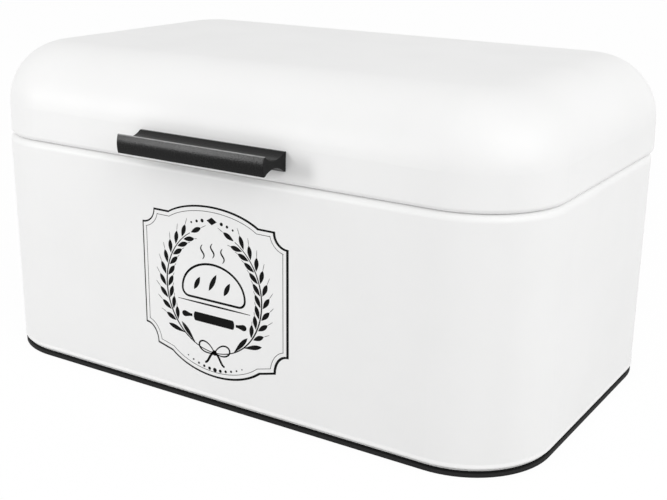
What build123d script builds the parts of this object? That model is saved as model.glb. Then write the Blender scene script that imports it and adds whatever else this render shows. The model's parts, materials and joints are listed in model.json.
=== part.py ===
from build123d import *
from math import acos, cos, degrees, radians, sin, tan
import os

# Countertop bread box: a powder coated sheet steel body with round corners,
# and a deep drawn lid that swings up and back on two riveted hinges.
# Millimetres. X runs to the right, -Y is the front, +Z is up.
# The origin is the centre of the base, on the worktop.

# Body
body_width = 420.0
body_depth = 254.0
corner_radius = 56.0
seam_height = 158.2          # worktop to the joint between body and lid
sheet = 0.7                  # steel of body, base and lid

# Rolled edges
body_rim_radius = 4.5
lid_rim_radius = 3.0
rim_turn = 270.0             # degrees that an edge is rolled inward
rim_gap = 0.2                # air between the two rolled edges

# Lid
lid_height = 63.5            # rolled edge to flat top
lid_edge_radius = 43.0       # soft edge round the flat top
lid_setback = 0.4            # lid inside the body's outline, front and sides
lid_draft = 1.8              # degrees that the lid's band leans inward, to leave its die

# Foot of the body: a bead, a joggle and a skirt that the edge trim grips
trim_height = 3.8
trim_web = 1.2               # rubber under the skirt
trim_leg = 1.2               # rubber on each side of the skirt
trim_inset = 0.2             # trim inside the wall's face
bead_height = 4.4            # top of the trim to plain wall
bead_proud = 0.6             # bead outside the wall's face
foot_bend = 1.0              # bend radius at the middle of the sheet

# Base panel: a pressed tray, flange down
floor_height = 8.0           # worktop to the panel's margin
panel_margin = 16.0          # flat margin round the raised field
panel_rise = 2.5
panel_slope = 2.5            # run of the step up to the raised field
panel_land = 4.0             # pressed land inside the step
panel_bend = 1.5

# Hinges
hinge_spacing = 220.0        # between hinge centres
leaf_width = 58.0
leaf_thickness = 1.0
leaf_height = 24.0           # body leaf below the pin
leaf_corner = 4.0
leaf_margin = 2.5            # lid leaf below the lid's soft edge
notch_margin = 3.0           # lid's rolled edge cut away past each end of a leaf
knuckle_span = 40.0
knuckle_count = 5
knuckle_play = 0.25          # air between neighbouring knuckles
curl_slit = 0.3              # open line where a rolled knuckle comes back to its leaf
pin_diameter = 2.4
pin_clearance = 0.05
pin_overhang = 0.8
pin_drop = 1.8               # pin below the body's rolled edge
running_gap = 0.3
open_angle = 100.0           # degrees, lid against its stop

# Rivets of the hinges
rivet_diameter = 3.2
rivet_clearance = 0.05
rivet_head_diameter = 6.4
rivet_head_height = 1.3
rivet_tail_diameter = 4.6
rivet_tail_length = 1.8
rivet_count = 3              # in each leaf
rivet_pitch = 20.0
rivet_drop = 13.0            # body leaf's rivets below the pin

# Vent holes in the rear wall
vent_diameter = 5.0
vent_count = 9
vent_pitch = 14.0
vent_height = 128.0

# Handle: an extruded bar with a finger groove above and below
handle_length = 112.0
handle_height = 12.0
handle_reach = 23.0          # lid's face to the front of the bar
handle_crown = 1.0           # bulge of the front plate
handle_plate = 1.0           # front plate at its edges
handle_flange = 1.5          # flange on the lid
handle_waist = 4.9
handle_edge = 0.35           # round on the edges of the section
handle_chamfer = 0.3         # at the sawn ends
handle_top_margin = 1.9      # below the lid's soft edge

# Screws and washers of the handle
screw_margin = 8.0           # end of the bar to a screw
screw_diameter = 3.0
screw_clearance = 0.02
screw_reach = 9.0            # into the bar
screw_hole = 3.4             # in the lid
screw_head_diameter = 5.6
screw_head_height = 2.2
screw_slot_width = 0.9
screw_slot_length = 3.2
screw_slot_depth = 1.1
washer_diameter = 9.0
washer_bore = 3.2
washer_thickness = 0.8

# Heights that follow
body_rim = seam_height - rim_gap / 2
lid_rim = seam_height + rim_gap / 2
lid_top = lid_rim + lid_height
lean = radians(lid_draft)
lid_corner = corner_radius - lid_setback
soft_radius = min(lid_edge_radius, lid_corner - 2 * sheet)
lid_roll_z = lid_rim + lid_rim_radius        # middle of the rolled edge
soft_z = lid_top - soft_radius               # centre of the soft edge
soft_inset = lid_rim_radius + (
    soft_radius - lid_rim_radius + (soft_z - lid_roll_z) * sin(lean)
) / cos(lean)

# The pin stands clear of the body's rear wall, and the lid's leaning rear band clears the pin as far
body_back = body_depth / 2
knuckle_radius = pin_diameter / 2 + pin_clearance + leaf_thickness
pin_standoff = knuckle_radius + running_gap
pin_y = body_back + pin_standoff
pin_z = body_rim - pin_drop
lid_leaf_seat = Plane(
    origin=(0, pin_y + pin_standoff * cos(lean), pin_z + pin_standoff * sin(lean)),
    x_dir=(1, 0, 0),
    z_dir=(0, -cos(lean), -sin(lean)),
)
lid_rear_face = lid_leaf_seat.offset(-sheet)
lid_roll_y = (
    lid_rear_face.origin.Y - lid_rim_radius * cos(lean)
    + (lid_rear_face.origin.Z - lid_roll_z - lid_rim_radius * sin(lean)) * tan(lean)
)

# Widths and depths that follow
lid_front = lid_setback - body_depth / 2
lid_back = lid_roll_y + lid_rim_radius
lid_width = body_width - 2 * lid_setback
lid_depth = lid_back - lid_front
lid_centre = (lid_back + lid_front) / 2
skirt_face = trim_inset + trim_leg
flange_face = skirt_face + sheet
through_sheet = 2 * sheet    # depth of a cut that passes one sheet

# Hinge leaves and rivets, measured on the walls that carry them
lid_leaf_rise = (soft_z - leaf_margin - lid_leaf_seat.origin.Z) / cos(lean)
lid_roll_rise = (lid_roll_z + lid_rim_radius - lid_leaf_seat.origin.Z) / cos(lean)
lid_rivet_rise = (lid_roll_rise + lid_leaf_rise) / 2
body_rivet_z = pin_z - rivet_drop
hinge_centres = {"left": -hinge_spacing / 2, "right": hinge_spacing / 2}

# The handle's seat is the middle of its flange, on the lid's leaning front band
handle_z = soft_z + soft_radius * sin(lean) - handle_top_margin - handle_height / 2 * cos(lean)
handle_seat = Plane(
    origin=(
        0,
        lid_front + lid_rim_radius - lid_rim_radius / cos(lean) + (handle_z - lid_roll_z) * tan(lean),
        handle_z,
    ),
    x_dir=(1, 0, 0),
    z_dir=(0, -cos(lean), sin(lean)),
)
screw_x = handle_length / 2 - screw_margin
screw_places = {"left": -screw_x, "right": screw_x}

# Degrees from level to the open line of a knuckle, which runs along the leaf's face
curl_turn = degrees(acos((pin_standoff - leaf_thickness - curl_slit / 2) / knuckle_radius))

# The lid leaf's lower corners run past the pin and meet the body leaf when open
stop_turn = radians(open_angle) - lean
stop_reach = (
    pin_standoff * (1 + cos(stop_turn)) - leaf_thickness - running_gap
) / sin(stop_turn)

os.makedirs("parts", exist_ok=True)


def keep(piece, name):
    """Label a finished piece and write it."""
    piece.part.label = name
    export_step(piece.part, f"parts/{name}.step")


def plan_path(width, depth, radius, centre_y):
    """Rounded rectangle on the worktop, begun half way along its right side."""
    right, left = width / 2, -width / 2
    back, front = centre_y + depth / 2, centre_y - depth / 2
    with BuildLine() as path:
        FilletPolyline(
            (right, centre_y), (right, back), (left, back), (left, front), (right, front),
            radius=[0.0] + 4 * [radius],
            close=True,
        )
    return path.line


def section_plane(width, centre_y):
    """Plane across the sheet at the right side: x outward from its face, y up."""
    return Plane(origin=(width / 2, centre_y, 0), x_dir=(1, 0, 0), z_dir=(0, -1, 0))


def across(seat, x):
    """Plane that cuts a seat at x: its x axis leads to the box's back, its y up the seat."""
    return Plane(origin=seat.from_local_coords((x, 0, 0)), x_dir=-seat.z_dir, z_dir=(1, 0, 0))


def spread(count, pitch):
    """Places of a row that is centred on zero."""
    return [(i - (count - 1) / 2) * pitch for i in range(count)]


body_path = plan_path(body_width, body_depth, corner_radius, 0.0)
lid_path = plan_path(lid_width, lid_depth, lid_corner, lid_centre)

# Body shell: one sheet, rolled in at the top, beaded and joggled at the foot
middle = -sheet / 2
body_roll = body_rim_radius - sheet / 2
with BuildPart() as body_shell:
    with BuildSketch(section_plane(body_width, 0.0)):
        with BuildLine():
            CenterArc((-body_rim_radius, body_rim - body_rim_radius), body_roll, rim_turn, -rim_turn)
            FilletPolyline(
                (middle, body_rim - body_rim_radius),
                (middle, trim_height + bead_height),
                (middle + bead_proud, trim_height + bead_height / 2),
                (-skirt_face + middle, trim_height + sheet),
                (-skirt_face + middle, trim_web),
                radius=foot_bend,
            )
        trace(line_width=sheet)
    sweep(path=body_path)
    rear_wall = Plane.XZ.offset(-body_back)
    with BuildSketch(rear_wall):
        for centre_x in hinge_centres.values():
            with Locations(*[(centre_x + x, body_rivet_z) for x in spread(rivet_count, rivet_pitch)]):
                Circle(rivet_diameter / 2 + rivet_clearance)
        with Locations(*[(x, vent_height) for x in spread(vent_count, vent_pitch)]):
            Circle(vent_diameter / 2)
    extrude(amount=through_sheet, mode=Mode.SUBTRACT)
keep(body_shell, "body_shell")

# Base panel: flange inside the skirt, flat margin, raised field
field_inset = flange_face + panel_margin + panel_slope + panel_land
with BuildPart() as base_panel:
    with BuildSketch(section_plane(body_width, 0.0)):
        with BuildLine():
            FilletPolyline(
                (-flange_face + middle, trim_web),
                (-flange_face + middle, floor_height + middle),
                (-flange_face - panel_margin, floor_height + middle),
                (-flange_face - panel_margin - panel_slope, floor_height + panel_rise + middle),
                (-field_inset, floor_height + panel_rise + middle),
                radius=panel_bend,
            )
        trace(line_width=sheet)
    sweep(path=body_path)
    with BuildSketch(Plane.XY.offset(floor_height + panel_rise - sheet)):
        RectangleRounded(
            body_width - 2 * field_inset, body_depth - 2 * field_inset, corner_radius - field_inset
        )
    extrude(amount=sheet)
keep(base_panel, "base_panel")

# Edge trim: a rubber channel that grips skirt and flange, and is the foot
grip = 2 * sheet
with BuildPart() as base_edge_trim:
    with BuildSketch(section_plane(body_width, 0.0)):
        with Locations((-trim_inset, 0)):
            Rectangle(2 * trim_leg + grip, trim_height, align=(Align.MAX, Align.MIN))
        with Locations((-skirt_face, trim_web)):
            Rectangle(grip, trim_height, align=(Align.MAX, Align.MIN), mode=Mode.SUBTRACT)
    sweep(path=body_path)
keep(base_edge_trim, "base_edge_trim")

# Lid shell: rolled edge, upright band, soft edge and flat top in one drawing
lid_roll = lid_rim_radius - sheet / 2
notch_width = leaf_width + 2 * notch_margin
notch_depth = 4 * lid_rim_radius
with BuildPart() as lid_shell:
    with BuildSketch(section_plane(lid_width, lid_centre)):
        with BuildLine():
            rolled = CenterArc((-lid_rim_radius, lid_roll_z), lid_roll, lid_draft, -rim_turn)
            soft = CenterArc((-soft_inset, soft_z), soft_radius - sheet / 2, lid_draft, 90 - lid_draft)
            Line(rolled @ 0, soft @ 0)
        trace(line_width=sheet)
    sweep(path=lid_path)
    with BuildSketch(Plane.XY.offset(lid_top - sheet)):
        with Locations((0, lid_centre)):
            RectangleRounded(
                lid_width - 2 * soft_inset, lid_depth - 2 * soft_inset, lid_corner - soft_inset
            )
    extrude(amount=sheet)
    # The rolled edge is cut away where a hinge passes through it
    with BuildSketch(Plane.XY.offset(lid_rim)):
        with Locations(*[(x, lid_back) for x in hinge_centres.values()]):
            Rectangle(notch_width, notch_depth)
    extrude(amount=lid_rim_radius, mode=Mode.SUBTRACT)
    with BuildSketch(lid_leaf_seat):
        with Locations(*[(x, lid_roll_rise + sheet) for x in hinge_centres.values()]):
            Rectangle(notch_width, notch_depth, align=(Align.CENTER, Align.MAX))
    extrude(amount=notch_depth, mode=Mode.SUBTRACT)
    with BuildSketch(lid_rear_face):
        for centre_x in hinge_centres.values():
            with Locations(*[(centre_x + x, lid_rivet_rise) for x in spread(rivet_count, rivet_pitch)]):
                Circle(rivet_diameter / 2 + rivet_clearance)
    extrude(amount=through_sheet, mode=Mode.SUBTRACT)
    with BuildSketch(handle_seat):
        with Locations(*[(x, 0) for x in screw_places.values()]):
            Circle(screw_hole / 2)
    extrude(amount=-through_sheet, mode=Mode.SUBTRACT)
keep(lid_shell, "lid_shell")

# Hinges: the body leaf lies outside the rear wall, the lid leaf inside the lid
knuckle_pitch = knuckle_span / knuckle_count
knuckle_width = knuckle_pitch - knuckle_play
knuckle_places = spread(knuckle_count, knuckle_pitch)
body_knuckles = knuckle_places[0::2]
lid_knuckles = knuckle_places[1::2]
relief_radius = knuckle_radius + running_gap
pin_bore = pin_diameter + 2 * pin_clearance
pin_axis = Plane(origin=(0, pin_y, pin_z), x_dir=(1, 0, 0), z_dir=(0, -1, 0))


def rolled_knuckle(x, turn):
    """Section of a knuckle at x: a ring about the pin, open on one side at turn degrees."""
    with BuildSketch(across(pin_axis, x)) as ring:
        Circle(knuckle_radius)
        Circle(pin_bore / 2, mode=Mode.SUBTRACT)
        with Locations(Location((0, 0), turn)):
            Rectangle(
                2 * knuckle_radius, curl_slit, align=(Align.MIN, Align.CENTER), mode=Mode.SUBTRACT
            )
    return ring.sketch


def hinge_body_leaf(centre_x):
    """Leaf on the body's rear wall, with the outer and middle knuckles."""
    with BuildPart() as leaf:
        with BuildSketch(Plane.XZ.offset(-body_back)) as blank:
            with Locations((centre_x, pin_z)):
                Rectangle(leaf_width, leaf_height, align=(Align.CENTER, Align.MAX))
            fillet(blank.vertices().group_by(Axis.Y)[0], leaf_corner)
            with Locations(*[(centre_x + x, pin_z) for x in lid_knuckles]):
                Rectangle(knuckle_pitch + knuckle_play, 2 * relief_radius, mode=Mode.SUBTRACT)
            with Locations(*[(centre_x + x, body_rivet_z) for x in spread(rivet_count, rivet_pitch)]):
                Circle(rivet_diameter / 2 + rivet_clearance, mode=Mode.SUBTRACT)
        extrude(amount=-leaf_thickness)
        for x in body_knuckles:
            start = centre_x + x - knuckle_width / 2
            extrude(rolled_knuckle(start, 180 + curl_turn), amount=knuckle_width)
    return leaf


def hinge_lid_leaf(centre_x):
    """Leaf inside the lid's rear band, with two knuckles and a stop at each end."""
    with BuildPart() as leaf:
        with BuildSketch(lid_leaf_seat) as blank:
            with Locations((centre_x, -stop_reach)):
                Rectangle(leaf_width, lid_leaf_rise + stop_reach, align=(Align.CENTER, Align.MIN))
            fillet(blank.vertices().group_by(Axis.Y)[-1], leaf_corner)
            with Locations((centre_x, 0)):
                Rectangle(knuckle_span + knuckle_play, 2 * relief_radius, mode=Mode.SUBTRACT)
            with Locations(*[(centre_x + x, 0) for x in lid_knuckles]):
                Rectangle(knuckle_width, relief_radius, align=(Align.CENTER, Align.MIN))
            with Locations(*[(centre_x + x, lid_rivet_rise) for x in spread(rivet_count, rivet_pitch)]):
                Circle(rivet_diameter / 2 + rivet_clearance, mode=Mode.SUBTRACT)
        extrude(amount=leaf_thickness)
        for x in lid_knuckles:
            start = centre_x + x - knuckle_width / 2
            extrude(rolled_knuckle(start, lid_draft + curl_turn), amount=knuckle_width)
    return leaf


def hinge_pin(centre_x):
    """Straight pin with chamfered ends."""
    length = knuckle_span + 2 * pin_overhang
    with BuildPart() as pin:
        with BuildSketch(across(pin_axis, centre_x - length / 2)):
            Circle(pin_diameter / 2)
        extrude(amount=length)
        chamfer(pin.edges().filter_by(GeomType.CIRCLE), pin_overhang / 2)
    return pin


def rivet_row(seat, centre_x):
    """Row of blind rivets through a wall and a leaf: domed heads outside on the seat, tails inside."""
    shank, head = rivet_diameter / 2, rivet_head_diameter / 2
    tail = rivet_tail_diameter / 2
    inside = -sheet - leaf_thickness
    tail_end = inside - rivet_tail_length
    with BuildPart() as row:
        for x in spread(rivet_count, rivet_pitch):
            profile_plane = across(seat, centre_x + x)
            with BuildSketch(profile_plane):
                with BuildLine():
                    Polyline(
                        (rivet_head_height, 0), (tail_end, 0), (tail_end, shank),
                        (inside - shank / 2, tail), (inside, tail), (inside, shank),
                        (0, shank), (0, head),
                    )
                    TangentArc((rivet_head_height, 0), (0, head), tangent=(0, 1))
                make_face()
            revolve(axis=Axis(profile_plane.origin, profile_plane.x_dir))
    return row


body_rivet_seat = Plane(
    origin=(0, body_back + leaf_thickness, body_rivet_z), x_dir=(1, 0, 0), z_dir=(0, -1, 0)
)
lid_rivet_seat = Plane(
    origin=lid_rear_face.from_local_coords((0, lid_rivet_rise, 0)),
    x_dir=(1, 0, 0),
    z_dir=lid_rear_face.z_dir,
)
for side, centre_x in hinge_centres.items():
    keep(hinge_body_leaf(centre_x), f"{side}_hinge_body_leaf")
    keep(hinge_lid_leaf(centre_x), f"{side}_hinge_lid_leaf")
    keep(hinge_pin(centre_x), f"{side}_hinge_pin")
    keep(rivet_row(body_rivet_seat, centre_x), f"{side}_hinge_body_rivets")
    keep(rivet_row(lid_rivet_seat, centre_x), f"{side}_hinge_lid_rivets")

# Handle bar: one section, crowned in front, hollowed above and below
bar_front = -handle_reach
plate_edge = bar_front + handle_crown
half = handle_height / 2
groove_front = plate_edge + handle_plate
groove_back = -handle_flange
groove_middle = (groove_front + groove_back) / 2
with BuildPart() as handle_bar:
    with BuildSketch(across(handle_seat, -handle_length / 2)) as section:
        with BuildLine():
            for up in (1, -1):
                Line((0, up * half), (groove_back, up * half))
                ThreePointArc(
                    (groove_back, up * half),
                    (groove_middle, up * handle_waist / 2),
                    (groove_front, up * half),
                )
                Line((groove_front, up * half), (plate_edge, up * half))
            ThreePointArc((plate_edge, half), (bar_front, 0), (plate_edge, -half))
            Line((0, half), (0, -half))
        make_face()
        free_corners = section.vertices().sort_by(Axis.X)[:-2]
        fillet(free_corners, handle_edge)
    extrude(amount=handle_length)
    ends = handle_bar.faces().filter_by(Axis.X)
    chamfer(ends.edges(), handle_chamfer)
    with BuildSketch(handle_seat):
        with Locations(*[(x, 0) for x in screw_places.values()]):
            Circle(screw_diameter / 2 + screw_clearance)
    extrude(amount=screw_reach, mode=Mode.SUBTRACT)
keep(handle_bar, "handle_bar")

# Handle fastenings, from inside the lid
head_seat = sheet + washer_thickness


def handle_washer(x):
    """Flat washer on the lid's inner face."""
    with BuildPart() as washer:
        with BuildSketch(handle_seat.offset(-sheet)):
            with Locations((x, 0)):
                Circle(washer_diameter / 2)
                Circle(washer_bore / 2, mode=Mode.SUBTRACT)
        extrude(amount=-washer_thickness)
    return washer


def handle_screw(x):
    """Pan head screw with a cross recess."""
    crown = head_seat + screw_head_height
    shank, head = screw_diameter / 2, screw_head_diameter / 2
    profile_plane = across(handle_seat, x)
    with BuildPart() as screw:
        with BuildSketch(profile_plane):
            with BuildLine():
                Polyline(
                    (crown, 0), (-screw_reach, 0), (-screw_reach, shank), (head_seat, shank),
                    (head_seat, head),
                )
                TangentArc((crown, 0), (head_seat, head), tangent=(0, 1))
            make_face()
        revolve(axis=Axis(profile_plane.origin, profile_plane.x_dir))
        with BuildSketch(handle_seat.offset(-crown)):
            with Locations((x, 0)):
                Rectangle(screw_slot_length, screw_slot_width)
                Rectangle(screw_slot_width, screw_slot_length)
        extrude(amount=screw_slot_depth, mode=Mode.SUBTRACT)
    return screw


for side, x in screw_places.items():
    keep(handle_washer(x), f"{side}_handle_washer")
    keep(handle_screw(x), f"{side}_handle_screw")
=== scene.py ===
import json
import math

import bmesh
import bpy
from mathutils import Matrix, Vector


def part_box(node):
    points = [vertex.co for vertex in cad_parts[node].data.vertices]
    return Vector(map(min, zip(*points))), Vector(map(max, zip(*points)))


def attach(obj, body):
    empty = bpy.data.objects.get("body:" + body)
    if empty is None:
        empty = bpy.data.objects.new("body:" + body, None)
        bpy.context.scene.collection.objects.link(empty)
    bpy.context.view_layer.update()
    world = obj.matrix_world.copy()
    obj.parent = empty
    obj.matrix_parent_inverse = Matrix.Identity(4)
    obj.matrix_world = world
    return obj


# Looks of a countertop bread box. Metres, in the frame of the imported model.
MM = 0.001

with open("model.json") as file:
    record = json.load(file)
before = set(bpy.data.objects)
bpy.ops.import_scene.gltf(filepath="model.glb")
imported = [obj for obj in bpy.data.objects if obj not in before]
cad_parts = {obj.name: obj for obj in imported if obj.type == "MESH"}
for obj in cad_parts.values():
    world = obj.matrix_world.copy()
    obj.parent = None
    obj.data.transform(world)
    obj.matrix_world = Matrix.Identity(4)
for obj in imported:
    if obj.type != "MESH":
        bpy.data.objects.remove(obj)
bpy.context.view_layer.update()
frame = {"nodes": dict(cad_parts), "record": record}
nodes = frame["nodes"]


# Camera, at the photograph's angle

PICTURE_WIDTH = 667
FOCAL_PIXELS = 1121.4
SENSOR = 36.0
AZIMUTH, ELEVATION, ROLL = 0.563, 0.309, 0.012      # radians
AIM = Vector((32.8 * MM, -36.3 * MM, 90.0 * MM))
DISTANCE = 766.2 * MM


def photograph_camera():
    """Camera that looks at AIM from the front right, a little above the box."""
    back = Vector((
        math.sin(AZIMUTH) * math.cos(ELEVATION),
        -math.cos(AZIMUTH) * math.cos(ELEVATION),
        math.sin(ELEVATION),
    ))
    across = Vector((math.cos(AZIMUTH), math.sin(AZIMUTH), 0.0))
    upward = back.cross(across)
    right = math.cos(ROLL) * across + math.sin(ROLL) * upward
    up = back.cross(right)
    lens = bpy.data.cameras.new("photograph")
    lens.sensor_width = SENSOR
    lens.lens = FOCAL_PIXELS * SENSOR / PICTURE_WIDTH
    lens.clip_start, lens.clip_end = 0.05, 60.0
    camera = bpy.data.objects.new("photograph", lens)
    camera.matrix_world = Matrix.LocRotScale(
        AIM + back * DISTANCE, Matrix((right, up, back)).transposed(), None
    )
    bpy.context.scene.collection.objects.link(camera)
    bpy.context.scene.camera = camera


# Node materials: arithmetic on a Value adds Math nodes

MIX_FACTOR, MIX_FIRST, MIX_SECOND, MIX_RESULT = 0, 6, 7, 2      # sockets of a Mix node for colours


class Value:
    """A socket of a finish, which takes part in Python arithmetic."""

    def __init__(self, finish, socket):
        self.finish = finish
        self.socket = socket

    def maths(self, operation, other):
        return self.finish.node("Math", {0: self, 1: other}, operation=operation)

    def __add__(self, other):
        return self.maths("ADD", other)

    __radd__ = __add__

    def __mul__(self, other):
        return self.maths("MULTIPLY", other)

    __rmul__ = __mul__


class Finish:
    """A node material that ends in a Principled shader."""

    def __init__(self, name):
        self.material = bpy.data.materials.new(name)
        self.material.use_nodes = True
        self.tree = self.material.node_tree
        self.shader = self.tree.nodes["Principled BSDF"]
        self.place = self.node("TexCoord", output="Object")

    def feed(self, socket, value):
        """Link a Value to a socket, or set a constant on it."""
        if isinstance(value, Value):
            self.tree.links.new(value.socket, socket)
        else:
            socket.default_value = value

    def node(self, kind, sockets=None, output=0, **settings):
        """Add a node: its settings first, then its sockets. Returns one output."""
        made = self.tree.nodes.new("ShaderNode" + kind)
        for name, value in settings.items():
            setattr(made, name, value)
        for name, value in (sockets or {}).items():
            self.feed(made.inputs[name], value)
        return None if output is None else Value(self, made.outputs[output])

    def noise(self, size, detail=2.0, stretch=(1.0, 1.0, 1.0)):
        """Noise from 0 to 1 with features of about that size in metres, longer along stretch."""
        place = self.node(
            "Mapping", {"Vector": self.place, "Scale": [1.0 / (size * s) for s in stretch]}
        )
        return self.node("TexNoise", {"Vector": place, "Scale": 1.0, "Detail": detail})

    def between(self, value, low, high, start=0.0, end=1.0):
        """Map value smoothly from low..high to start..end."""
        return self.node(
            "MapRange",
            {"Value": value, "From Min": low, "From Max": high, "To Min": start, "To Max": end},
            interpolation_type="SMOOTHSTEP",
        )

    def along(self, axis):
        """The place along X, Y or Z, in metres."""
        return self.node("SeparateXYZ", {0: self.place}, output=axis)

    def mix(self, factor, first, second):
        """Mix two colours, each three numbers or a Value."""
        first, second = [c if isinstance(c, Value) else (*c, 1.0) for c in (first, second)]
        return self.node(
            "Mix",
            {MIX_FACTOR: factor, MIX_FIRST: first, MIX_SECOND: second},
            output=MIX_RESULT,
            data_type="RGBA",
        )

    def bump(self, height, depth):
        """Relief of that depth in metres, where height goes from 0 to 1."""
        normal = self.node("Bump", {"Height": height, "Distance": depth, "Strength": 1.0})
        self.feed(self.shader.inputs["Normal"], normal)

    def set(self, **sockets):
        """Set or link the shader's sockets: Base_Color for Base Color, and so on."""
        for name, value in sockets.items():
            self.feed(self.shader.inputs[name.replace("_", " ")], value)


def powder_coat(name, colour, shade):
    """White satin powder coat on sheet steel, with orange peel and faint mottling."""
    coat = Finish(name)
    peel = coat.noise(2.2 * MM, detail=1.0)
    grit = coat.noise(0.5 * MM, detail=1.0)
    cloud = coat.noise(60 * MM, detail=3.0)
    coat.set(
        Base_Color=coat.mix(coat.between(cloud, 0.35, 0.75), colour, shade),
        Roughness=0.36 + 0.1 * cloud + 0.06 * grit,
        IOR=1.5,
    )
    coat.bump(0.8 * peel + 0.2 * grit, depth=0.02 * MM)
    return coat.material


def rubber(name, colour, unshaded_grey):
    """Matt black edge trim, with a painted shadow: black along its top, under the wall's bead, and
    greyer below.
    """
    trim = Finish(name)
    grain = trim.noise(0.4 * MM, detail=2.0)
    streak = trim.noise(3.0 * MM, detail=3.0)
    # Painted shadow: above 3.1 mm the trim is black, as the wall's bead shades it; below 2.3 mm it is
    # grey, streaked at random.
    shadow_fades_to, shadow_full_from = 2.3 * MM, 3.1 * MM
    low = trim.between(trim.along("Z"), shadow_fades_to, shadow_full_from, 1.0, 0.0)
    out_of_shadow = low * (0.6 + 0.6 * streak)
    trim.set(
        Base_Color=trim.mix(out_of_shadow, colour, unshaded_grey),
        Roughness=0.6 + 0.2 * streak,
        Specular_IOR_Level=0.1,
    )
    trim.bump(grain, depth=0.04 * MM)
    return trim.material


def black_bar(name, colour, grey, highlight_grey):
    """Black textured coat on the extruded handle, with a painted highlight along the upper edge of its
    front.
    """
    coat = Finish(name)
    pebble = coat.noise(0.8 * MM, detail=2.0)
    cloud = coat.noise(7.0 * MM, detail=3.0)
    plate_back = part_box("handle_bar")[0].y + 3.0 * MM
    blur = 0.5 * MM
    on_plate = coat.between(coat.along("Y"), plate_back - blur, plate_back + blur, 1.0, 0.0)
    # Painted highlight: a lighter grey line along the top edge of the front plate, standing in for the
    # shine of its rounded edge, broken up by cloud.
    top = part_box("handle_bar")[1].z
    highlight_starts, highlight_full_from = top - 0.6 * MM, top - 0.15 * MM
    near_top = coat.between(coat.along("Z"), highlight_starts, highlight_full_from)
    edge = on_plate * near_top * coat.between(cloud, 0.25, 0.55, 0.7, 1.0)
    grained = coat.mix(coat.between(pebble, 0.5, 0.8), colour, grey)
    coat.set(
        Base_Color=coat.mix(edge, grained, highlight_grey),
        Roughness=0.2 + 0.05 * cloud,
        Specular_IOR_Level=0.16,
    )
    coat.bump(pebble, depth=0.055 * MM)
    return coat.material


def plated_steel(name, colour, dulled):
    """Zinc plated steel with a rolling grain along X."""
    plate = Finish(name)
    grain = plate.noise(0.25 * MM, detail=2.0, stretch=(40.0, 1.0, 1.0))
    cloud = plate.noise(9.0 * MM, detail=3.0)
    plate.set(
        Base_Color=plate.mix(plate.between(cloud, 0.25, 0.75), colour, dulled),
        Roughness=0.26 + 0.12 * grain + 0.06 * cloud,
        Metallic=1.0,
    )
    plate.bump(grain, depth=0.008 * MM)
    return plate.material


def rivet_alloy(name, colour, dulled):
    """Satin aluminium of the blind rivets."""
    alloy = Finish(name)
    grain = alloy.noise(0.3 * MM, detail=2.0)
    alloy.set(
        Base_Color=alloy.mix(grain, colour, dulled),
        Roughness=0.34 + 0.14 * grain,
        Metallic=1.0,
    )
    alloy.bump(grain, depth=0.01 * MM)
    return alloy.material


def printing_ink(name, colour, thin):
    """Screen printed black ink, a little thin in places."""
    ink = Finish(name)
    mesh = ink.noise(0.35 * MM, detail=1.0)
    patch = ink.noise(6.0 * MM, detail=2.0)
    ink.set(
        Base_Color=ink.mix(ink.between(mesh, 0.45, 0.75) * patch, colour, thin),
        Roughness=0.5 + 0.16 * mesh,
        Specular_IOR_Level=0.06,
    )
    ink.bump(mesh, depth=0.01 * MM)
    return ink.material


def grey_of(level):
    """A neutral colour."""
    return (level, level, level)


FINISHES = {
    "white_coated_steel": powder_coat("white_coat", (0.865, 0.865, 0.862), (0.85, 0.85, 0.847)),
    # The rubber's 0.002 black is a painted shadow under the bead; 0.022 is its grey below.
    "black_rubber": rubber("edge_rubber", grey_of(0.002), grey_of(0.022)),
    # The handle's 0.3 grey is a painted highlight on the top edge of its front plate.
    "black_handle": black_bar("handle_black", grey_of(0.004), grey_of(0.01), grey_of(0.3)),
    "hinge_steel": plated_steel("hinge_zinc", (0.45, 0.46, 0.47), (0.38, 0.39, 0.4)),
    "rivet_metal": rivet_alloy("rivet_alloy", (0.6, 0.6, 0.61), (0.5, 0.5, 0.51)),
}


def finish_nodes():
    """Give every CAD node the finish of its material slot."""
    for part in frame["record"]["subparts"]:
        shown = nodes[part["node"]]
        shown.data.materials.clear()
        shown.data.materials.append(FINISHES[part["material_slot"]])


# Printed plaque on the body's front. Its drawing is in millimetres, x and z on the wall.

INK_THICKNESS = 0.06
TRIM_INSET = 0.2              # edge trim behind the wall's face
PLAQUE_HALF = 57.0            # middle to the upright sides
PLAQUE_TOP, PLAQUE_BOTTOM = 127.4, 35.4     # corners beside the arches
CORNER_BITE = 9.8             # concave corners
BITE_BOTTOM = 12.8
ARCH_HALF = 35.3              # middle to the ends of both arches
ARCH_TOP, ARCH_BOTTOM = 135.5, 21.4         # crowns
ARCH_FOOT = 32.3              # ends of the bottom arch


def arc(centre, radii, start, end, count):
    """Points on an ellipse from start to end, in degrees."""
    turns = [math.radians(start + (end - start) * i / count) for i in range(count + 1)]
    return [(centre[0] + radii[0] * math.cos(t), centre[1] + radii[1] * math.sin(t)) for t in turns]


def arch(foot, crown, flat=0.62):
    """Half of an arch: points from its foot at the right to its crown on the middle line."""
    reach = ARCH_HALF / math.sqrt(1 - flat * flat)
    rise = (crown - foot) / (1 - flat)
    start = math.degrees(math.asin(flat))
    return arc((0.0, crown - rise), (reach, rise), start, 90.0, 16)


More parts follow.
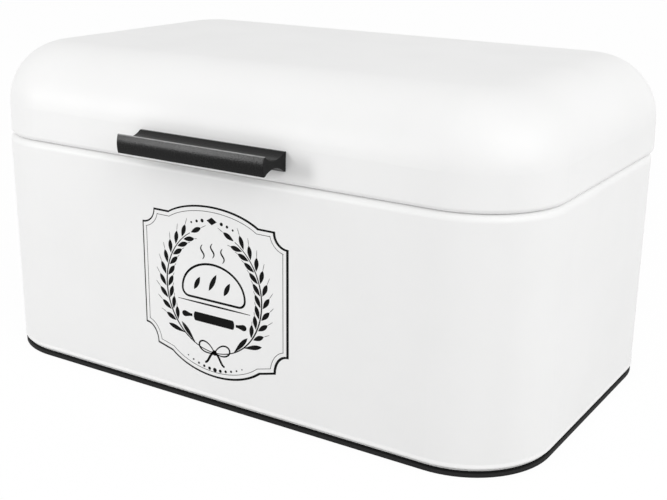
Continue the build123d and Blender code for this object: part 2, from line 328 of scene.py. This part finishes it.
def plaque_outline():
    """Closed outline with bitten corners and arched top and bottom, from the right side up."""
    corner = arc((PLAQUE_HALF, PLAQUE_TOP), (CORNER_BITE, CORNER_BITE), 270.0, 180.0, 8)
    upper = corner + arch(PLAQUE_TOP, ARCH_TOP)
    lower_corner = arc((PLAQUE_HALF, PLAQUE_BOTTOM), (CORNER_BITE, BITE_BOTTOM), 90.0, 180.0, 8)
    lower = lower_corner + arch(ARCH_FOOT, ARCH_BOTTOM)
    left_upper = [(-x, z) for x, z in reversed(upper[:-1])]
    left_lower = [(-x, z) for x, z in lower[:-1]]
    return upper + left_upper + left_lower + list(reversed(lower))


class Drawing:
    """Flat shapes on the wall, kept as points and faces, in millimetres."""

    def __init__(self):
        self.points = []
        self.faces = []

    def blob(self, outline):
        """A filled closed shape."""
        start = len(self.points)
        self.points += outline
        self.faces.append(tuple(range(start, start + len(outline))))

    def band(self, one_side, other_side, closed=False):
        """The strip between two lines that have as many points."""
        start, count = len(self.points), len(one_side)
        self.points += list(one_side) + list(other_side)
        for i in range(count if closed else count - 1):
            j = (i + 1) % count
            self.faces.append((start + i, start + j, start + count + j, start + count + i))

    def stroke(self, line, width, tip=1.0, closed=False):
        """A line of that width, which narrows to tip times it at both ends."""
        points = [Vector(p) for p in line]
        count = len(points)
        sides = ([], [])
        for i, point in enumerate(points):
            before = points[i - 1] if i or closed else point
            after = points[(i + 1) % count] if closed or i + 1 < count else point
            along = (point - before).normalized() + (after - point).normalized()
            normal = Vector((-along.y, along.x)).normalized()
            middle = math.sin(math.pi * i / (count - 1))
            half = width / 2 * (1.0 if closed else tip + (1 - tip) * middle)
            sides[0].append(tuple(point + normal * half))
            sides[1].append(tuple(point - normal * half))
        self.band(*sides, closed=closed)

    def disc(self, centre, radius):
        corners = 16
        self.blob(arc(centre, (radius, radius), 0.0, 360.0, corners)[:-1])

    def diamond(self, centre, half_width, half_height):
        x, z = centre
        self.blob([(x + half_width, z), (x, z + half_height), (x - half_width, z), (x, z - half_height)])

    def leaf(self, root, direction, length, width, belly=0.5):
        """A pointed oval that starts at root."""
        along = Vector((math.cos(math.radians(direction)), math.sin(math.radians(direction))))
        aside = Vector((-along.y, along.x))
        steps = [i / 8 for i in range(9)]
        fullness = 0.8
        swell = [math.sin(math.pi * s ** (0.5 / belly)) ** fullness * width / 2 for s in steps]
        near = [Vector(root) + along * length * s + aside * w for s, w in zip(steps, swell)]
        far = [Vector(root) + along * length * s - aside * w for s, w in zip(steps, swell)]
        self.blob([tuple(p) for p in near + far[-2:0:-1]])

    def as_object(self, name, wall_y):
        """One closed slab for each shape, on the wall that faces -Y."""
        build = bmesh.new()
        made = [build.verts.new((x * MM, wall_y, z * MM)) for x, z in self.points]
        for face in self.faces:
            build.faces.new([made[i] for i in face])
        raised = bmesh.ops.extrude_face_region(build, geom=build.faces[:], use_keep_orig=True)
        moved = [item for item in raised["geom"] if isinstance(item, bmesh.types.BMVert)]
        bmesh.ops.translate(build, verts=moved, vec=(0.0, -INK_THICKNESS * MM, 0.0))
        bmesh.ops.recalc_face_normals(build, faces=build.faces[:])
        mesh = bpy.data.meshes.new(name)
        build.to_mesh(mesh)
        build.free()
        piece = bpy.data.objects.new(name, mesh)
        bpy.context.scene.collection.objects.link(piece)
        return piece


def inset(outline, distance, shift=0.0):
    """Outline moved inward by distance, then by shift along x."""
    moved = []
    points = [Vector(p) for p in outline]
    for i, point in enumerate(points):
        before, after = points[i - 1], points[(i + 1) % len(points)]
        first = (point - before).normalized()
        second = (after - point).normalized()
        along = (first + second).normalized()
        reach = distance / max(0.5, along.dot(second))
        moved.append((point.x - along.y * reach + shift, point.y + along.x * reach))
    return moved


def draw_frame(drawing):
    """A heavy outer line, bolder at the right, and a fine line inside it."""
    outline = plaque_outline()
    heavy_outside, heavy_inside, heavy_shift = 0.8, 0.5, 0.5
    fine_inside, fine_width = 2.8, 0.35
    heavy_edge = inset(outline, -heavy_outside, heavy_shift)
    drawing.band(heavy_edge, inset(outline, heavy_inside), closed=True)
    fine_edge = inset(outline, fine_inside)
    drawing.band(fine_edge, inset(outline, fine_inside + fine_width), closed=True)


def heading(line):
    """Direction in degrees of a line at its start."""
    step = Vector(line[1]) - Vector(line[0])
    return math.degrees(math.atan2(step.y, step.x))


def toward(point, direction, length):
    """The place at that length from point, in a direction in degrees."""
    turn = math.radians(direction)
    return point[0] + length * math.cos(turn), point[1] + length * math.sin(turn)


def draw_grain(drawing, root, direction, bristle):
    """One grain of wheat, with a fine bristle from its tip."""
    length, width, bristle_width = 9.2, 3.3, 0.34
    drawing.leaf(root, direction, length, width, belly=0.42)
    start = length - 0.2
    line = [toward(root, direction, start + bristle * i / 3) for i in range(4)]
    drawing.stroke(line, bristle_width, tip=0.4)


def draw_wreath(drawing):
    """Two ears of wheat, whose stems cross at the foot of the plaque and curl towards its top."""
    centre, reach, rise = (0.0, 79.5), 38.0, 41.5
    stem_start, stem_end, stem_width = -99.0, 62.0, 0.95
    grain_turns = range(-37, 60, 11)
    grain_lean, off_stem = 30, 0.9
    long_bristle, short_bristle = 5.0, 2.5
    leaves = ((-52, -26, 15.0), (-66, 22, 17.0))      # turn, lean and length
    leaf_width = 3.2
    for side in (1, -1):
        radii = (side * reach, rise)
        drawing.stroke(arc(centre, radii, stem_start, stem_end, 32), stem_width, tip=0.45)
        for turn in grain_turns:
            stem = arc(centre, radii, turn, turn + 1.0, 1)
            for lean in (grain_lean, -grain_lean):
                root = toward(stem[0], heading(stem) + 3 * lean, off_stem)
                bristle = long_bristle if lean * side < 0 else short_bristle
                draw_grain(drawing, root, heading(stem) + lean, bristle)
        tip = arc(centre, radii, stem_end + 1.5, stem_end + 2.5, 1)
        draw_grain(drawing, tip[0], heading(tip), long_bristle)
        for turn, lean, length in leaves:
            stem = arc(centre, radii, turn, turn + 1.0, 1)
            drawing.leaf(stem[0], heading(stem) + side * lean, length, leaf_width, belly=0.35)


def draw_bow(drawing):
    """A ribbon that ties the two stems: two loops, two tails and a knot."""
    knot, knot_radius = (0.0, 38.0), 1.9
    loop_length, loop_rise, loop_spread, loop_width = 13.0, 20.0, 39.0, 1.2
    fullness = 0.7
    tail_start, tail_reach, tail_top, tail_drop = 0.8, 7.2, 37.4, 7.6
    tail_wave, tail_width = 0.9, 1.7
    for side in (1, -1):
        middle = loop_rise if side == 1 else 180.0 - loop_rise
        loop = []
        for step in range(-29, 30, 2):
            swing = step / 30
            away = loop_length * math.cos(math.pi / 2 * swing) ** fullness
            loop.append(toward(knot, middle + side * loop_spread * swing, away))
        drawing.stroke([knot, *loop, knot], loop_width, tip=0.6)
        tail = []
        for step in range(9):
            t = step / 8
            wave = tail_wave * math.sin(math.tau * t)
            tail.append((side * (tail_start + tail_reach * t), tail_top - tail_drop * t + wave))
        drawing.stroke(tail, tail_width, tip=0.8)
    drawing.disc(knot, knot_radius)


def draw_loaf(drawing):
    """A round loaf with three cuts on a board, and the steam over it."""
    half_width, height, base, heel_radius, crust_width = 25.0, 19.5, 73.5, 5.0, 1.5
    cuts = ((-12.0, 78.8, 10.5), (0.0, 80.0, 13.5), (12.0, 78.8, 10.5))      # x, foot and length
    cut_shift, cut_direction, cut_width = -3.5, 62.0, 3.4
    board_half, board_drop = 29.0, 3.2
    wisps = ((-8.0, 100.5), (0.0, 102.5), (8.0, 100.5))      # x and foot
    wisp_height, wisp_sway = 9.5, 1.3
    fine_width, fine_tip, fine_steps = 1.2, 0.3, 12

    level, heel_x = base + heel_radius, half_width - heel_radius
    heel = (heel_radius, heel_radius)
    crust = arc((0.0, level), (half_width, height), 0.0, 180.0, 28)
    foot = arc((-heel_x, level), heel, 180.0, 270.0, 6) + arc((heel_x, level), heel, 270.0, 360.0, 6)
    drawing.stroke(crust[:-1] + foot[:-1], crust_width, closed=True)
    for x, cut_foot, length in cuts:
        drawing.leaf((x + cut_shift, cut_foot), cut_direction, length, cut_width)
    steps = [i / fine_steps for i in range(fine_steps + 1)]
    board = [(board_half * (2 * t - 1), base - board_drop) for t in steps]
    drawing.stroke(board, fine_width, tip=fine_tip)
    for x, wisp_foot in wisps:
        wisp = [(x + wisp_sway * math.sin(math.tau * t), wisp_foot + wisp_height * t) for t in steps]
        drawing.stroke(wisp, fine_width, tip=fine_tip)


def draw_rolling_pin(drawing):
    """A rolling pin under the loaf."""
    level, half_length, radius, end_round = 60.5, 15.0, 3.1, 1.4
    neck = ((17.6, 0.9), (19.4, 1.0))      # x and half width
    knob_x, knob_reach, knob_radius = 23.4, 2.7, 2.1
    right_end = arc((half_length, level), (end_round, radius), -90.0, 90.0, 8)
    left_end = arc((-half_length, level), (end_round, radius), 90.0, 270.0, 8)
    drawing.blob(right_end + left_end)
    for side in (1, -1):
        under = [(side * x, level - half) for x, half in neck]
        knob = arc((side * knob_x, level), (side * knob_reach, knob_radius), -90.0, 90.0, 8)
        over = [(side * x, level + half) for x, half in reversed(neck)]
        drawing.blob(under + knob + over)


def draw_beads(drawing):
    """Graded dots that follow the arches, from a diamond at the top and from the bow at the foot."""
    top, foot = 126.6, 26.0
    bend, spacing = 0.0115, 4.4
    drawing.diamond((0.0, top), 4.0, 2.5)
    for level, curve, start, radii in (
        (top, -bend, 7.6, (1.2, 0.95, 0.7)),
        (foot, bend, 0.0, (1.5, 1.15, 0.95, 0.8, 0.65, 0.5)),
    ):
        for i, radius in enumerate(radii):
            x = start + spacing * i
            for place in (x, -x) if x else (x,):
                drawing.disc((place, level + curve * x * x), radius)


def label_print():
    """The printed plaque, which rides on the body."""
    drawing = Drawing()
    draw_frame(drawing)
    draw_wreath(drawing)
    draw_bow(drawing)
    draw_loaf(drawing)
    draw_rolling_pin(drawing)
    draw_beads(drawing)
    wall_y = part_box("base_edge_trim")[0].y - TRIM_INSET * MM
    piece = drawing.as_object("label_print", wall_y)
    piece.data.materials.append(printing_ink("label_ink", grey_of(0.002), grey_of(0.02)))
    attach(piece, "body")


# Stage: pale floor, white backdrop, soft lamps

FLOOR_RADIUS = 20.0
FLOOR_GLOW = 0.96             # plain white share of the seen floor, which keeps shadows on it faint
FLOOR_GREY = 0.6              # share of its light that the floor gives back to the object
AMBIENT = 0.705               # world's light on the object, where 1 is white


class Backdrop(Finish):
    """A finish or world that looks white to the camera and in reflections."""

    def __init__(self, tree):
        self.tree = tree

    def seen(self):
        """1 for rays that show the background, 0 for rays that light the object."""
        path = self.tree.nodes.new("ShaderNodeLightPath")
        camera, glossy, transmission = [
            Value(self, path.outputs[f"Is {kind} Ray"]) for kind in ("Camera", "Glossy", "Transmission")
        ]
        return camera + glossy + transmission


def pale_floor():
    bpy.ops.mesh.primitive_circle_add(vertices=64, radius=FLOOR_RADIUS, fill_type="NGON")
    floor = bpy.context.object
    floor.name = "floor"
    paint = bpy.data.materials.new("floor_white")
    paint.use_nodes = True
    paint.node_tree.nodes.clear()
    backdrop = Backdrop(paint.node_tree)
    seen = backdrop.seen()
    matt = backdrop.node("BsdfDiffuse", {"Color": FLOOR_GREY + (1.0 - FLOOR_GREY) * seen})
    glow = backdrop.node("Emission", {"Color": (1.0, 1.0, 1.0, 1.0), "Strength": 1.0})
    shown = backdrop.node("MixShader", {0: seen * FLOOR_GLOW, 1: matt, 2: glow})
    backdrop.node("OutputMaterial", {"Surface": shown}, output=None)
    floor.data.materials.append(paint)


def white_world(ambient):
    world = bpy.data.worlds.new("backdrop")
    world.use_nodes = True
    world.node_tree.nodes.clear()
    backdrop = Backdrop(world.node_tree)
    strength = ambient + (1.0 - ambient) * backdrop.seen()
    sky = backdrop.node("Background", {"Color": (1.0, 1.0, 1.0, 1.0), "Strength": strength})
    backdrop.node("OutputWorld", {"Surface": sky}, output=None)
    bpy.context.scene.world = world


def softbox(name, place, aim, size, watts):
    """A soft rectangular lamp at place that shines at aim."""
    lamp = bpy.data.lights.new(name, "AREA")
    lamp.shape = "RECTANGLE"
    lamp.size, lamp.size_y = size
    lamp.energy = watts
    stand = bpy.data.objects.new(name, lamp)
    stand.location = place
    stand.rotation_euler = (Vector(aim) - Vector(place)).to_track_quat("-Z", "Y").to_euler()
    bpy.context.scene.collection.objects.link(stand)


def studio():
    pale_floor()
    white_world(AMBIENT)
    box_middle = (0.0, 0.0, 0.12)
    softbox("key_light", (-0.82, -1.16, 0.4), box_middle, size=(0.28, 0.44), watts=5.6)
    softbox("right_light", (2.0, -0.6, 1.2), box_middle, size=(2.0, 1.8), watts=24.2)


photograph_camera()
finish_nodes()
label_print()
studio()
bpy.context.scene.view_settings.view_transform = "Standard"
